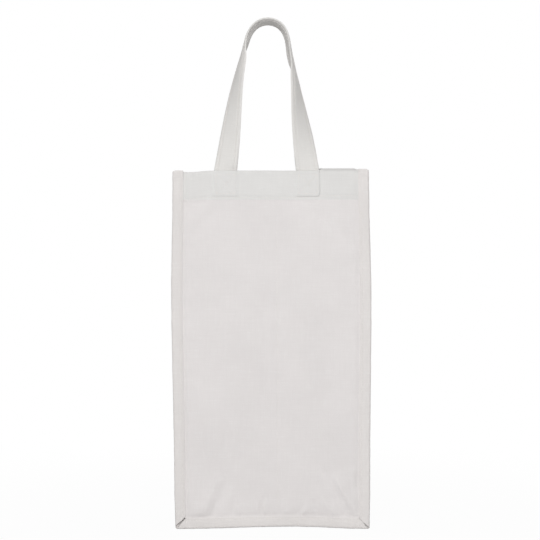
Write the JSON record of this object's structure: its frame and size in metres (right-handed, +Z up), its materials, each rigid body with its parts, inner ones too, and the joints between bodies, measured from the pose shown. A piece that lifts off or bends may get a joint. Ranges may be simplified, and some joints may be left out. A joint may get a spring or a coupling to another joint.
{
  "type": "bottle carrier",
  "caption": "Tote for bottles in plain canvas, with tape-bound seams, a sewn divider and strap handles that swing over its hemmed mouth.",
  "frame": {"origin": "on the standing plane, under the middle of the bag's body", "axes": "+X to the right and -Y to the front as the bag is seen in the picture, +Z up out of the mouth"},
  "size_m": [0.196, 0.1549, 0.5079],
  "materials": {
    "canvas": "matte plain weave",
    "tape": "matte folded tape",
    "strap": "matte canvas strap",
    "thread": "matte thread"
  },
  "bodies": {
    "bag": {"front_panel": "canvas", "back_panel": "canvas", "left_gusset": "canvas", "right_gusset": "canvas", "base_panel": "canvas", "divider": "canvas", "front_left_binding": "tape", "front_base_binding": "tape", "front_right_binding": "tape", "back_left_binding": "tape", "back_base_binding": "tape", "back_right_binding": "tape", "front_handle_ends": "strap", "back_handle_ends": "strap", "front_binding_stitching": "thread", "back_binding_stitching": "thread", "hem_stitching": "thread", "front_handle_stitching": "thread", "back_handle_stitching": "thread", "divider_stitching": "thread", "base_seam_stitching": "thread"},
    "front_loop": {"front_handle": "strap"},
    "back_loop": {"back_handle": "strap"}
  },
  "joints": [
    {"name": "front_handle_swing", "type": "hinge", "parent": "bag", "child": "front_loop", "pos_m": [-0.005, -0.048, 0.357], "axis": [1, 0, 0], "range_deg": [-12.4, 166]},
    {"name": "back_handle_swing", "type": "hinge", "parent": "bag", "child": "back_loop", "pos_m": [-0.005, 0.048, 0.357], "axis": [1, 0, 0], "range_deg": [0, 178.4]}
  ]
}
